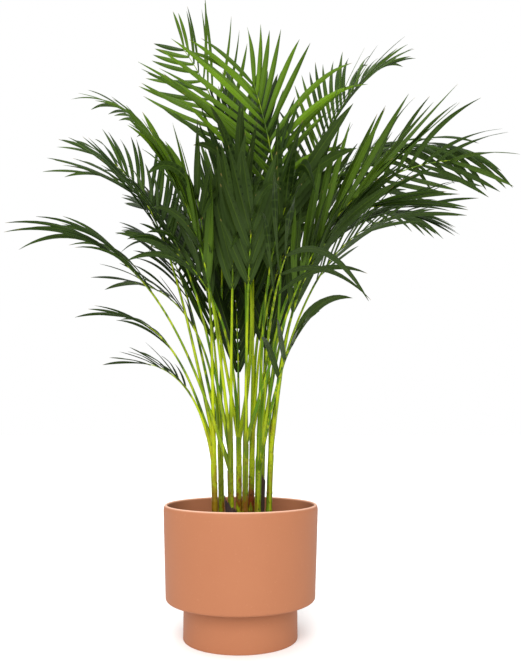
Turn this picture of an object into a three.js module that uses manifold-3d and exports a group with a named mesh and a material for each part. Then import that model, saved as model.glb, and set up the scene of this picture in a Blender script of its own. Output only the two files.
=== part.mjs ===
// A clumping areca palm in a stepped ceramic planter: nine canes, each with the petioles of its
// fronds, and one mesh for the bladed part of each frond. Millimetres, +Z up. The origin is the
// middle of the flat underside of the planter's foot.
import * as THREE from 'three';
import { mergeVertices } from 'three/addons/utils/BufferGeometryUtils.js';
import Module from 'manifold-3d';

// ---------------------------------------------------------------- driving dimensions

const GAP = 0.3; // between pieces that touch

const PLANTER = {
  height: 232,
  rimRadius: 140,
  bodyFootRadius: 133.5, // the body narrows a little towards its lower edge
  stepHeight: 67,
  footRadius: 101.5,
  wall: 7.5,
  floor: 9,
  edge: 5, // radius of the body's lower edge
  footEdge: 2,
};
const LIP = { width: 3.8, rise: 10, innerWidth: 3.7, innerRise: 4 }; // half-round top of the rim
const NURSERY_POT = { height: 184, topRadius: 113, footRadius: 82, wall: 1.8, floor: 2.4 };
const NURSERY_RIM = { width: 3.5, height: 12 };
const DRAIN = { count: 5, circle: 52, radius: 8 };
const SOIL = { edge: 184, crown: 8 }; // height of its edge, and the rise to its middle
const CANE = { footRadius: 6.2, topRadius: 4.4, depth: 58, flare: 0.12, sides: 8 };
const PETIOLE = { footRadius: 3.6, collarRadius: 2.4, sides: 5, rings: 5 };
const RACHIS = { side: 2, depth: 1.8, taper: 0.6 };
const LEAFLET = {
  root: 6, // length of its root along the rachis
  thickness: 0.7,
  gather: 0.55, // how far it turns towards the frond's tip
  fall: 1.2, // how late it starts to hang over
  room: 0.3, // kept clear round it
};
// How a blade changes from its first leaflets to its last.
const BLADE = {
  fold: 0.65, // share of the fold that is gone at its end
  rise: 0.45, // share of the rise that is gone at its end
  longest: 0.35, // place of its longest leaflets
  short: 0.35, // share by which its first leaflets are shorter
  fade: 1.5, // how late its leaflets get shorter towards the end
  end: 0.985, // place of its last leaflets
};
// Unevenness of the leaflets: degrees of fold and rise, and shares of length and weep. The ones
// whose draw is above limp, of -1 to 1, curl over too.
const UNEVEN = { fold: 5, rise: 9, length: 0.08, weep: 0.35, limp: 0.4 };
// A leaflet's half width at a share w of its length is (root + swell w)(1 - w)^point / widest of
// its greatest, which a leaflet of the length full has.
const OUTLINE = { root: 0.4, swell: 2.4, point: 0.9, widest: 0.87, least: 0.62, full: 200 };
// A dry brown leaf base left standing round the foot of a cane, counted from 0. heading is where it
// faces, spread and torn are degrees, and flare is the share by which it opens towards its top.
const SHEATH = {
  cane: 2,
  heading: -110,
  radius: 8.6,
  thickness: 1.6,
  top: 250,
  spread: 200,
  torn: 55,
  flare: 0.35,
};

const POT_SIDES = 48;
const SOIL_SIDES = 32;

// Each cane's place on the soil, and the height where it ends among the bases of its petioles.
const CANES = [
  { x: -46, y: -8, top: 372 },
  { x: -36, y: 20, top: 366 },
  { x: -17, y: -20, top: 362 },
  { x: -4, y: 12, top: 384 },
  { x: 8, y: -24, top: 372 },
  { x: 18, y: 22, top: 380 },
  { x: 30, y: -12, top: 368 },
  { x: 36, y: 26, top: 360 },
  { x: 50, y: 2, top: 356 },
];

// A frond leaves its cane at the height start, towards heading (degrees, 0 along +X). It sets out
// lean degrees off the vertical and bends over by arch more, the later the higher late is. The
// share bare of its length is petiole. leaf is its longest leaflet, tip the share of that left at
// its end, and pairs counts its leaflets. fold is their angle to the rachis, rise the angle at
// which the two rows stand up, roll turns the blade about the rachis, weep is how far the leaflets
// hang over, and curl is how much further the limpest of them do.
const FRONDS = [
  { name: 'low_left', cane: 0, start: 305, heading: -179, lean: 13, arch: 71, late: 2.1, length: 240,
    bare: 0.57, leaf: 105, tip: 0.75, pairs: 5, fold: 54, rise: 23, roll: -10, weep: 0.6, curl: 0, width: 5 },
  { name: 'second_left', cane: 0, start: 335, heading: 170, lean: 20, arch: 62, late: 2.6, length: 325,
    bare: 0.57, leaf: 130, tip: 0.7, pairs: 4, fold: 27, rise: 8, roll: -3, weep: 0.85, curl: 0, width: 4.5 },
  { name: 'third_left', cane: 1, start: 340, heading: 160, lean: 6, arch: 73, late: 1.9, length: 405,
    bare: 0.53, leaf: 140, tip: 0.75, pairs: 5, fold: 36, rise: 17, roll: 10, weep: 0.7, curl: 0, width: 5.5 },
  { name: 'long_left', cane: 2, start: 295, heading: 178, lean: 20, arch: 41, late: 2.6, length: 500,
    bare: 0.68, leaf: 220, tip: 0.85, pairs: 6, fold: 17, rise: 34, roll: -6, weep: 1.2, curl: 0, width: 4 },
  { name: 'dark_left', cane: 1, start: 344, heading: 121, lean: 26, arch: 42, late: 3.4, length: 575,
    bare: 0.57, leaf: 185, tip: 0.95, pairs: 9, fold: 38, rise: 33, roll: -2, weep: 1, curl: 0, width: 5 },
  { name: 'dark_left_front', cane: 3, start: 354, heading: -148, lean: 5, arch: 59, late: 2.2, length: 385,
    bare: 0.67, leaf: 155, tip: 0.7, pairs: 6, fold: 36, rise: 37, roll: 7, weep: 0.95, curl: 1, width: 7 },
  { name: 'mid_left', cane: 0, start: 354, heading: 148, lean: 16, arch: 41, late: 3, length: 680,
    bare: 0.56, leaf: 185, tip: 0.85, pairs: 13, fold: 36, rise: 41, roll: -24, weep: 0.5, curl: 0, width: 4.5 },
  { name: 'mid_left_back', cane: 2, start: 325, heading: 161, lean: 12, arch: 57, late: 2.8, length: 650,
    bare: 0.56, leaf: 160, tip: 0.9, pairs: 14, fold: 47, rise: 33, roll: -19, weep: 0.65, curl: 0, width: 4.5 },
  { name: 'high_left', cane: 3, start: 348, heading: 154, lean: 12, arch: 51, late: 3.1, length: 840,
    bare: 0.49, leaf: 130, tip: 0.75, pairs: 18, fold: 44, rise: 8, roll: 8, weep: 0.75, curl: 0, width: 4 },
  { name: 'high_left_front', cane: 2, start: 342, heading: -139, lean: 9, arch: 33, late: 3.1, length: 515,
    bare: 0.54, leaf: 200, tip: 0.7, pairs: 8, fold: 17, rise: 44, roll: -32, weep: 0.95, curl: 0, width: 8.5 },
  { name: 'top_left', cane: 3, start: 350, heading: 133, lean: -19, arch: 58, late: 0.8, length: 940,
    bare: 0.6, leaf: 190, tip: 0.6, pairs: 12, fold: 61, rise: 29, roll: -83, weep: 0.05, curl: 0, width: 6 },
  { name: 'top_centre', cane: 6, start: 316, heading: -175, lean: -11, arch: 29, late: 1.4, length: 745,
    bare: 0.64, leaf: 285, tip: 0.45, pairs: 13, fold: 52, rise: 1, roll: -76, weep: 0.95, curl: 0, width: 6 },
  { name: 'top_right', cane: 5, start: 362, heading: 27, lean: 13, arch: 42, late: 3.7, length: 900,
    bare: 0.54, leaf: 200, tip: 0.5, pairs: 24, fold: 43, rise: 48, roll: 20, weep: 0.8, curl: 0, width: 4.5 },
  { name: 'bright_right', cane: 4, start: 342, heading: -31, lean: 20, arch: 41, late: 3.4, length: 510,
    bare: 0.54, leaf: 215, tip: 1.05, pairs: 10, fold: 26, rise: 44, roll: 6, weep: 0.15, curl: 0, width: 6.5 },
  { name: 'far_right', cane: 6, start: 320, heading: -8, lean: 5, arch: 88, late: 1.9, length: 735,
    bare: 0.68, leaf: 185, tip: 0.65, pairs: 9, fold: 62, rise: 26, roll: -34, weep: 0.65, curl: 0, width: 5.5 },
  { name: 'arching_right', cane: 5, start: 360, heading: -2, lean: 1, arch: 105, late: 1.9, length: 800,
    bare: 0.62, leaf: 150, tip: 0.95, pairs: 15, fold: 36, rise: 17, roll: -6, weep: 1.7, curl: 1, width: 5.5 },
  { name: 'mid_right', cane: 8, start: 346, heading: 29, lean: 7, arch: 86, late: 2, length: 660,
    bare: 0.54, leaf: 195, tip: 0.8, pairs: 18, fold: 35, rise: 16, roll: 8, weep: 1, curl: 0, width: 4.5 },
  { name: 'low_right', cane: 8, start: 322, heading: -36, lean: 9, arch: 94, late: 3.5, length: 540,
    bare: 0.48, leaf: 195, tip: 0.8, pairs: 14, fold: 12, rise: 23, roll: 12, weep: 0.6, curl: 0, width: 4.5 },
  { name: 'lower_right', cane: 7, start: 348, heading: -3, lean: 15, arch: 62, late: 2.8, length: 530,
    bare: 0.58, leaf: 170, tip: 1, pairs: 11, fold: 42, rise: 12, roll: -13, weep: 0.6, curl: 0, width: 5 },
  { name: 'small_right', cane: 6, start: 291, heading: -69, lean: 30, arch: 44, late: 4.5, length: 285,
    bare: 0.6, leaf: 170, tip: 1.1, pairs: 3, fold: 34, rise: 34, roll: 42, weep: 1.05, curl: 0, width: 6.5 },
  { name: 'front_left', cane: 0, start: 337, heading: -107, lean: 4, arch: 36, late: 2.8, length: 475,
    bare: 0.61, leaf: 155, tip: 0.95, pairs: 5, fold: 28, rise: 26, roll: -5, weep: 0.7, curl: 2.5, width: 9 },
  { name: 'front_right', cane: 6, start: 350, heading: -64, lean: 3, arch: 53, late: 2.5, length: 475,
    bare: 0.63, leaf: 190, tip: 1, pairs: 6, fold: 26, rise: 28, roll: -7, weep: 0.55, curl: 3, width: 9.5 },
  { name: 'back_left', cane: 1, start: 354, heading: 123, lean: 7, arch: 61, late: 2.1, length: 585,
    bare: 0.3, leaf: 225, tip: 0.9, pairs: 15, fold: 29, rise: 17, roll: -6, weep: 0.45, curl: 0, width: 8 },
  { name: 'back_right', cane: 7, start: 352, heading: 79, lean: 7, arch: 44, late: 2.4, length: 630,
    bare: 0.35, leaf: 230, tip: 0.7, pairs: 15, fold: 28, rise: 34, roll: -1, weep: 0.3, curl: 0, width: 8 },
  { name: 'back_centre', cane: 5, start: 360, heading: 99, lean: -3, arch: 35, late: 2.8, length: 675,
    bare: 0.35, leaf: 245, tip: 0.75, pairs: 15, fold: 30, rise: 35, roll: -7, weep: 0.3, curl: 0, width: 8 },
  { name: 'centre_front', cane: 4, start: 356, heading: -101, lean: -2, arch: 45, late: 2.6, length: 500,
    bare: 0.58, leaf: 170, tip: 0.75, pairs: 6, fold: 22, rise: 23, roll: -3, weep: 0.75, curl: 3, width: 9 },
  { name: 'centre_left', cane: 3, start: 296, heading: 98, lean: 5, arch: 43, late: 2.4, length: 425,
    bare: 0.4, leaf: 200, tip: 0.85, pairs: 11, fold: 23, rise: 20, roll: -1, weep: 0.35, curl: 0, width: 9 },
  { name: 'centre_right', cane: 8, start: 306, heading: 99, lean: 4, arch: 46, late: 2.6, length: 490,
    bare: 0.4, leaf: 200, tip: 0.8, pairs: 11, fold: 24, rise: 22, roll: 3, weep: 0.3, curl: 0, width: 9 },
  { name: 'curling_right', cane: 7, start: 300, heading: -81, lean: -8, arch: 87, late: 0.9, length: 485,
    bare: 0.66, leaf: 230, tip: 1.1, pairs: 3, fold: 42, rise: 42, roll: -45, weep: 1.5, curl: 1, width: 5.5 },
  { name: 'inner_left', cane: 2, start: 333, heading: -85, lean: 4, arch: 26, late: 2.4, length: 440,
    bare: 0.62, leaf: 165, tip: 0.8, pairs: 5, fold: 20, rise: 20, roll: 0, weep: 0.3, curl: 0, width: 9 },
  { name: 'inner_right', cane: 5, start: 310, heading: -24, lean: 3, arch: 35, late: 2.2, length: 495,
    bare: 0.63, leaf: 185, tip: 1, pairs: 6, fold: 23, rise: 20, roll: 1, weep: 0.15, curl: 0, width: 9 },
  { name: 'upper_right', cane: 7, start: 349, heading: 20, lean: 10, arch: 38, late: 2.1, length: 630,
    bare: 0.47, leaf: 200, tip: 0.6, pairs: 12, fold: 28, rise: 29, roll: 3, weep: 0.3, curl: 0, width: 6.5 },
  { name: 'upper_left', cane: 1, start: 336, heading: 93, lean: 5, arch: 37, late: 2.5, length: 665,
    bare: 0.47, leaf: 210, tip: 0.6, pairs: 13, fold: 20, rise: 27, roll: 1, weep: 0.4, curl: 0, width: 6 },
  { name: 'front_middle', cane: 4, start: 315, heading: -84, lean: 3, arch: 46, late: 2.2, length: 455,
    bare: 0.66, leaf: 165, tip: 0.8, pairs: 5, fold: 24, rise: 25, roll: 2, weep: 0.5, curl: 2, width: 9 },
  { name: 'lower_front', cane: 8, start: 324, heading: -51, lean: 10, arch: 49, late: 2.6, length: 420,
    bare: 0.6, leaf: 185, tip: 0.9, pairs: 7, fold: 22, rise: 23, roll: 5, weep: 0.7, curl: 1, width: 7 },
];

const COLOURS = {
  planter: { colour: 0xd98e69, roughness: 0.75 },
  nursery_pot: { colour: 0x2b211d, roughness: 0.6 },
  soil: { colour: 0x3a2a1e, roughness: 0.95 },
  cane: { colour: 0x93a832, roughness: 0.5 },
  frond: { colour: 0x3f6b22, roughness: 0.45 },
  dry_sheath: { colour: 0x5b4334, roughness: 0.9 },
};

// ---------------------------------------------------------------- solids

const wasm = await Module();
wasm.setup();

function solidFrom(positions, faces) {
  return new wasm.Manifold(
    new wasm.Mesh({
      numProp: 3,
      vertProperties: Float32Array.from(positions),
      triVerts: Uint32Array.from(faces),
    }),
  );
}

function solidOf(geometry) {
  const bare = geometry.index ? geometry.toNonIndexed() : geometry.clone();
  bare.deleteAttribute('normal');
  bare.deleteAttribute('uv');
  const merged = mergeVertices(bare, 1e-4);
  return solidFrom(merged.attributes.position.array, merged.index.array);
}

function geometryOf(solid) {
  const { vertProperties, triVerts, numProp, numVert } = solid.getMesh();
  const positions = new Float32Array(3 * numVert);
  for (let k = 0; k < numVert; k++) {
    positions.set(vertProperties.subarray(k * numProp, k * numProp + 3), 3 * k);
  }
  const geometry = new THREE.BufferGeometry();
  geometry.setAttribute('position', new THREE.BufferAttribute(positions, 3));
  geometry.setIndex(new THREE.BufferAttribute(Uint32Array.from(triVerts), 1));
  geometry.computeVertexNormals();
  return geometry;
}

const palm = new THREE.Group();

function addMesh(name, geometry, finish) {
  const { colour, roughness } = COLOURS[finish];
  const material = new THREE.MeshStandardMaterial({ color: colour, roughness, metalness: 0 });
  const mesh = new THREE.Mesh(geometry, material);
  mesh.name = name;
  palm.add(mesh);
}

// A closed surface put together from loops of points. Loops run the same way round, so that the
// faces between two of them point out.
class Shell {
  positions = [];
  faces = [];

  loop(points) {
    return points.map((point) => {
      this.positions.push(point.x, point.y, point.z);
      return this.positions.length / 3 - 1;
    });
  }

  triangle(a, b, c) {
    this.faces.push(a, b, c);
  }

  // Side number k of the wall between two loops. Both faces of a thin blade are split alike.
  side(lower, upper, k) {
    const next = (k + 1) % lower.length;
    if (k < lower.length / 2) {
      this.triangle(lower[k], upper[k], upper[next]);
      this.triangle(lower[k], upper[next], lower[next]);
    } else {
      this.triangle(lower[k], upper[k], lower[next]);
      this.triangle(lower[next], upper[k], upper[next]);
    }
  }

  wall(lower, upper) {
    lower.forEach((_, k) => this.side(lower, upper, k));
  }

  startCap(loop) {
    for (let k = 1; k < loop.length - 1; k++) this.triangle(loop[0], loop[k], loop[k + 1]);
  }

  endCap(loop) {
    for (let k = 1; k < loop.length - 1; k++) this.triangle(loop[0], loop[k + 1], loop[k]);
  }

  point(loop, apex) {
    const [end] = this.loop([apex]);
    loop.forEach((corner, k) => this.triangle(corner, end, loop[(k + 1) % loop.length]));
  }

  solid() {
    return solidFrom(this.positions, this.faces);
  }
}

// ---------------------------------------------------------------- pots and soil

function turned(profile, sides) {
  return new THREE.LatheGeometry(profile.getPoints(1), sides).rotateX(Math.PI / 2);
}

function planter() {
  const { height, rimRadius, bodyFootRadius, stepHeight, footRadius, wall, floor } = PLANTER;
  const { edge, footEdge } = PLANTER;
  const innerRim = rimRadius - LIP.width - LIP.innerWidth;
  const profile = new THREE.Path();
  profile.moveTo(0, 0);
  profile.lineTo(footRadius - footEdge, 0);
  profile.absarc(footRadius - footEdge, footEdge, footEdge, -Math.PI / 2, 0);
  profile.lineTo(footRadius, stepHeight);
  profile.lineTo(bodyFootRadius - edge, stepHeight);
  profile.absarc(bodyFootRadius - edge, stepHeight + edge, edge, -Math.PI / 2, 0);
  profile.lineTo(rimRadius, height - LIP.rise);
  profile.absellipse(rimRadius - LIP.width, height - LIP.rise, LIP.width, LIP.rise, 0, Math.PI / 2);
  profile.absellipse(
    innerRim + LIP.innerWidth,
    height - LIP.innerRise,
    LIP.innerWidth,
    LIP.innerRise,
    Math.PI / 2,
    Math.PI,
  );
  profile.lineTo(bodyFootRadius - wall, stepHeight + wall);
  profile.lineTo(footRadius - wall, stepHeight + wall);
  profile.lineTo(footRadius - wall, floor);
  profile.lineTo(0, floor);
  return turned(profile, POT_SIDES);
}

const nurseryFoot = PLANTER.floor + GAP;
const nurseryTop = nurseryFoot + NURSERY_POT.height;

// The nursery pot's inner radius at a height.
function nurseryInside(height) {
  const share = (height - nurseryFoot) / NURSERY_POT.height;
  return THREE.MathUtils.lerp(NURSERY_POT.footRadius, NURSERY_POT.topRadius, share) - NURSERY_POT.wall;
}

function nurseryPot() {
  const { topRadius, footRadius, wall, floor } = NURSERY_POT;
  const rimRadius = topRadius + NURSERY_RIM.width;
  const rimFoot = nurseryTop - NURSERY_RIM.height;
  const profile = new THREE.Path();
  profile.moveTo(0, nurseryFoot);
  profile.lineTo(footRadius, nurseryFoot);
  profile.lineTo(nurseryInside(rimFoot) + wall, rimFoot);
  profile.lineTo(rimRadius, rimFoot + wall);
  profile.lineTo(rimRadius, nurseryTop);
  profile.lineTo(topRadius - wall, nurseryTop);
  profile.lineTo(nurseryInside(nurseryFoot + floor), nurseryFoot + floor);
  profile.lineTo(0, nurseryFoot + floor);
  let pot = solidOf(turned(profile, SOIL_SIDES));
  for (let k = 0; k < DRAIN.count; k++) {
    const angle = (2 * Math.PI * k) / DRAIN.count;
    const hole = new THREE.CylinderGeometry(DRAIN.radius, DRAIN.radius, 4 * floor, 10)
      .rotateX(Math.PI / 2)
      .translate(DRAIN.circle * Math.cos(angle), DRAIN.circle * Math.sin(angle), nurseryFoot);
    pot = pot.subtract(solidOf(hole));
  }
  return geometryOf(pot);
}

const soilFoot = nurseryFoot + NURSERY_POT.floor + GAP;
const soilRadius = nurseryInside(SOIL.edge) - GAP;
const soilTop = SOIL.edge + SOIL.crown;

function soil() {
  const profile = new THREE.Path();
  profile.moveTo(0, soilFoot);
  profile.lineTo(nurseryInside(soilFoot) - GAP, soilFoot);
  profile.lineTo(soilRadius, SOIL.edge);
  profile.lineTo(0.85 * soilRadius, SOIL.edge + 0.45 * SOIL.crown);
  profile.lineTo(0.6 * soilRadius, soilTop);
  profile.lineTo(0, soilTop);
  let ground = solidOf(turned(profile, SOIL_SIDES));
  for (const cane of CANES) {
    const depth = CANE.depth + GAP;
    const radius = CANE.footRadius + GAP / Math.cos(Math.PI / CANE.sides);
    const hole = new THREE.CylinderGeometry(radius, radius, 2 * depth, CANE.sides)
      .rotateX(Math.PI / 2)
      .rotateZ(Math.PI / 2)
      .translate(cane.x, cane.y, soilTop);
    ground = ground.subtract(solidOf(hole));
  }
  return geometryOf(ground);
}

// A curved strip with a torn, slanting top.
function drySheath() {
  const { cane, heading, radius, thickness, top, spread, torn, flare } = SHEATH;
  const foot = soilTop + GAP;
  const height = top - foot;
  const half = THREE.MathUtils.degToRad(spread / 2);
  const outline = new THREE.Shape();
  outline.absarc(0, 0, radius, -half, half);
  outline.absarc(0, 0, radius - thickness, half, -half, true);
  const strip = new THREE.ExtrudeGeometry(outline, {
    depth: height,
    bevelEnabled: false,
    curveSegments: 10,
  });
  const angle = THREE.MathUtils.degToRad(torn);
  const sharp = solidOf(strip).trimByPlane(
    [0, -Math.sin(angle), -Math.cos(angle)],
    radius * Math.sin(angle) - height * Math.cos(angle),
  );
  const opened = sharp.warp((corner) => {
    const share = 1 + (flare * corner[2]) / height;
    corner[0] *= share;
    corner[1] *= share;
  });
  const { x, y } = CANES[cane];
  return geometryOf(opened).rotateZ(THREE.MathUtils.degToRad(heading)).translate(x, y, foot);
}

// ---------------------------------------------------------------- canes, petioles, rachises

const UP = new THREE.Vector3(0, 0, 1);
const DOWN = new THREE.Vector3(0, 0, -1);
const CURVE_STEPS = 40;

// A point reached from another along some directions, given as pairs of direction and distance.
function offset(point, ...moves) {
  const moved = point.clone();
  for (const [direction, distance] of moves) moved.addScaledVector(direction, distance);
  return moved;
}

// The line of a frond from its cane to its tip.
function frondLine(frond) {
  const cane = CANES[frond.cane];
  const climb = 1 + (CANE.flare * (frond.start - soilTop)) / (cane.top - soilTop);
  const heading = THREE.MathUtils.degToRad(frond.heading);
  const outward = new THREE.Vector3(Math.cos(heading), Math.sin(heading), 0);
  const points = [new THREE.Vector3(cane.x * climb, cane.y * climb, frond.start)];
  for (let step = 0; step < CURVE_STEPS; step++) {
    const share = (step + 0.5) / CURVE_STEPS;
    const lean = THREE.MathUtils.degToRad(frond.lean + frond.arch * share ** frond.late);
    const stride = frond.length / CURVE_STEPS;
    const moves = [[outward, Math.sin(lean) * stride], [UP, Math.cos(lean) * stride]];
    points.push(offset(points.at(-1), ...moves));
  }
  return points;
}

// The place at a share of a frond's line: its point, and the directions along the frond, across it
// and up from its upper face.
function placeOn(frond, line, share) {
  const step = Math.min(Math.floor(share * CURVE_STEPS), CURVE_STEPS - 1);
  const along = line[step + 1].clone().sub(line[step]).normalize();
  const point = line[step].clone().lerp(line[step + 1], share * CURVE_STEPS - step);
  const heading = THREE.MathUtils.degToRad(frond.heading);
  const across = new THREE.Vector3(-Math.sin(heading), Math.cos(heading), 0);
  return { point, along, across, up: along.clone().cross(across).normalize() };
}

function tube(places, radii, sides) {
  const shell = new Shell();
  const loops = places.map(({ point, across, up }, ring) => {
    const corners = [];
    for (let k = 0; k < sides; k++) {
      const angle = (-2 * Math.PI * k) / sides;
      const reach = [[across, radii[ring] * Math.cos(angle)], [up, radii[ring] * Math.sin(angle)]];
      corners.push(offset(point, ...reach));
    }
    return shell.loop(corners);
  });
  shell.startCap(loops[0]);
  for (let ring = 1; ring < loops.length; ring++) shell.wall(loops[ring - 1], loops[ring]);
  shell.endCap(loops.at(-1));
  return shell.solid();
}

function caneSolid({ x, y, top }) {
  const spread = 1 + CANE.flare;
  const rings = [
    { at: [x, y, soilTop - CANE.depth], radius: CANE.footRadius },
    { at: [x, y, soilTop], radius: CANE.footRadius },
    { at: [x * spread, y * spread, top], radius: CANE.topRadius },
  ];
  const across = new THREE.Vector3(0, 1, 0);
  const up = new THREE.Vector3(-1, 0, 0);
  const places = rings.map(({ at }) => ({ point: new THREE.Vector3(...at), across, up }));
  return tube(places, rings.map(({ radius }) => radius), CANE.sides);
}

function petioleSolid(frond, line) {
  const collar = frond.bare - GAP / 2 / frond.length;
  const places = [];
  const radii = [];
  for (let ring = 0; ring < PETIOLE.rings; ring++) {
    const share = ring / (PETIOLE.rings - 1);
    places.push(placeOn(frond, line, share * collar));
    radii.push(THREE.MathUtils.lerp(PETIOLE.footRadius, PETIOLE.collarRadius, share));
  }
  return tube(places, radii, PETIOLE.sides);
}

// The four corners of the rachis at a share of the frond.
function rachisCorners({ point, across, up }, share, bare) {
  const size = 1 - RACHIS.taper * ((share - bare) / (1 - bare));
  const side = RACHIS.side * size;
  const depth = RACHIS.depth * size;
  return [
    offset(point, [across, side], [up, depth]),
    offset(point, [across, side], [up, -depth]),
    offset(point, [across, -side], [up, -depth]),
    offset(point, [across, -side], [up, depth]),
  ];
}

// ---------------------------------------------------------------- leaflets

// A repeatable value from -1 to 1 for a set of whole numbers.
function scatter(...keys) {
  const sum = keys.reduce((total, key, k) => total + key * (12.9898 + 65.233 * k), 0);
  const wave = Math.sin(sum) * 43758.5453;
  return 2 * (wave - Math.floor(wave)) - 1;
}

// The share of a frond at which a pair of leaflets grows.
function pairShare(frond, pair) {
  return frond.bare + (1 - frond.bare) * ((pair + 0.5) / frond.pairs) * BLADE.end;
}

// A leaflet's length against the frond's longest, by its place u along the blade.
function lengthShare(frond, u) {
  const { longest, short, fade } = BLADE;
  if (u < longest) return 1 - short * (1 - u / longest) ** 2;
  return 1 - (1 - frond.tip) * ((u - longest) / (1 - longest)) ** fade;
}

// A leaflet's half width at a share w of its own length.
function halfWidth(frond, length, w) {
  const { root, swell, point, widest, least, full } = OUTLINE;
  const greatest = frond.width * (least + (1 - least) * Math.min(1, length / full));
  return (greatest * (root + swell * w) * (1 - w) ** point) / widest;
}

const LEAFLET_STEPS = 10;
const SECTIONS = [3.5, 7]; // steps along the leaflet at which the blade has a cross-section

// The course of a leaflet: the places of its cross-sections and its tip. side is 1 or -1, lift
// raises it by some degrees to pass a neighbour, and trim shortens it.
function leafletCourse(frond, index, line, pair, side, lift = 0, trim = 1) {
  const u = (pair + 0.5) / frond.pairs;
  const { point, along, across, up } = placeOn(frond, line, pairShare(frond, pair));
  const roll = THREE.MathUtils.degToRad(frond.roll * Math.min(1, u + 0.5));
  const rowAcross = offset(new THREE.Vector3(), [across, Math.cos(roll)], [up, Math.sin(roll)]);
  const rowUp = offset(new THREE.Vector3(), [up, Math.cos(roll)], [across, -Math.sin(roll)]);
  const uneven = (measure, key) => measure * scatter(index, pair, side, key);
  const fold = frond.fold * (1 - BLADE.fold * u ** 2) + uneven(UNEVEN.fold, 1);
  const stand = frond.rise * (1 - BLADE.rise * u) + uneven(UNEVEN.rise, 2) + lift;
  const angle = THREE.MathUtils.degToRad(fold);
  const rise = THREE.MathUtils.degToRad(stand);
  const length = trim * frond.leaf * lengthShare(frond, u) * (1 + uneven(UNEVEN.length, 3));
  const limpness = Math.max(0, scatter(index, pair, side, 5) - UNEVEN.limp) / (1 - UNEVEN.limp);
  const weep = frond.weep * (1 + uneven(UNEVEN.weep, 4)) + frond.curl * limpness;
  const outset = offset(
    new THREE.Vector3(),
    [along, Math.cos(angle)],
    [rowAcross, side * Math.cos(rise) * Math.sin(angle)],
    [rowUp, Math.sin(rise) * Math.sin(angle)],
  );
  const places = [];
  let reached = point;
  for (let step = 0; step <= LEAFLET_STEPS; step++) {
    const w = (step + 0.5) / LEAFLET_STEPS;
    const forward = offset(
      outset,
      [along, LEAFLET.gather * w],
      [DOWN, weep * w ** LEAFLET.fall],
    ).normalize();
    places.push({ point: reached, forward });
    reached = offset(reached, [forward, length / LEAFLET_STEPS]);
  }
  const at = (step) => {
    const whole = Math.floor(step);
    const rest = ((step - whole) * length) / LEAFLET_STEPS;
    const { point: from, forward } = places[whole];
    const width = along.clone().addScaledVector(forward, -along.dot(forward)).normalize();
    return { point: offset(from, [forward, rest]), forward, width };
  };
  return { length, side, at, tip: places[LEAFLET_STEPS].point };
}

// The corners of a leaflet's cross-section, in the order that makes its faces point out. grow
// thickens and widens it.
function leafletCorners(frond, course, step, grow = 0) {
  const { point, forward, width } = course.at(step);
  const half = halfWidth(frond, course.length, step / LEAFLET_STEPS) + grow;
  const thick = LEAFLET.thickness / 2 + grow;
  const face = course.side > 0 ? width.clone().cross(forward) : forward.clone().cross(width);
  const [first, second] = course.side > 0 ? [[face, thick], [width, half]] : [[width, half], [face, thick]];
  const opposite = ([direction, distance]) => [direction, -distance];
  return [
    offset(point, first, second),
    offset(point, first, opposite(second)),
    offset(point, opposite(first), opposite(second)),
    offset(point, opposite(first), second),
  ];
}

// Where a leaflet grows from the side of the rachis.
function rootCorners(frond, line, pair, side) {
  const share = pairShare(frond, pair);
  const half = LEAFLET.root / 2 / frond.length;
  const back = rachisCorners(placeOn(frond, line, share - half), share, frond.bare);
  const front = rachisCorners(placeOn(frond, line, share + half), share, frond.bare);
  return side > 0 ? [front[0], back[0], back[1], front[1]] : [front[3], front[2], back[2], back[3]];
}

// A leaflet on its own, a little oversize, to find what it would touch.
function leafletProbe(frond, line, pair, course) {
  const shell = new Shell();
  let reached = shell.loop(rootCorners(frond, line, pair, course.side));
  shell.startCap(reached);
  for (const step of SECTIONS) {
    const section = shell.loop(leafletCorners(frond, course, step, LEAFLET.room));
    shell.wall(reached, section);
    reached = section;
  }
  shell.point(reached, course.tip);
  return shell.solid();
}

// ---------------------------------------------------------------- what a leaflet keeps clear of

const obstacles = [];

function addObstacle(owner, solid) {
  const { min, max } = solid.boundingBox();
  const box = new THREE.Box3(new THREE.Vector3(...min), new THREE.Vector3(...max));
  obstacles.push({ owner, solid, box });
}

function isClear(owner, solid) {
  const { min, max } = solid.boundingBox();
  const box = new THREE.Box3(new THREE.Vector3(...min), new THREE.Vector3(...max));
  const others = obstacles.filter((other) => other.owner !== owner && box.intersectsBox(other.box));
  return others.every((other) => solid.intersect(other.solid).isEmpty());
}

// Ways to pass a neighbour, tried in turn: degrees of lift and share of the full length.
const LIFTS = [0, 9, -9, 18, -18, 27, -27];
const TRIMS = [1, 0.75, 0.55];
const WAYS = TRIMS.flatMap((trim) => LIFTS.map((lift) => ({ lift, trim })));

function clearCourse(frond, index, line, pair, side) {
  for (const { lift, trim } of WAYS) {
    const course = leafletCourse(frond, index, line, pair, side, lift, trim);
    const probe = leafletProbe(frond, line, pair, course);
    if (isClear(frond.name, probe)) {
      addObstacle('leaflets', probe);
      return course;
    }
  }
  return null;
}

// ---------------------------------------------------------------- fronds

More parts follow.
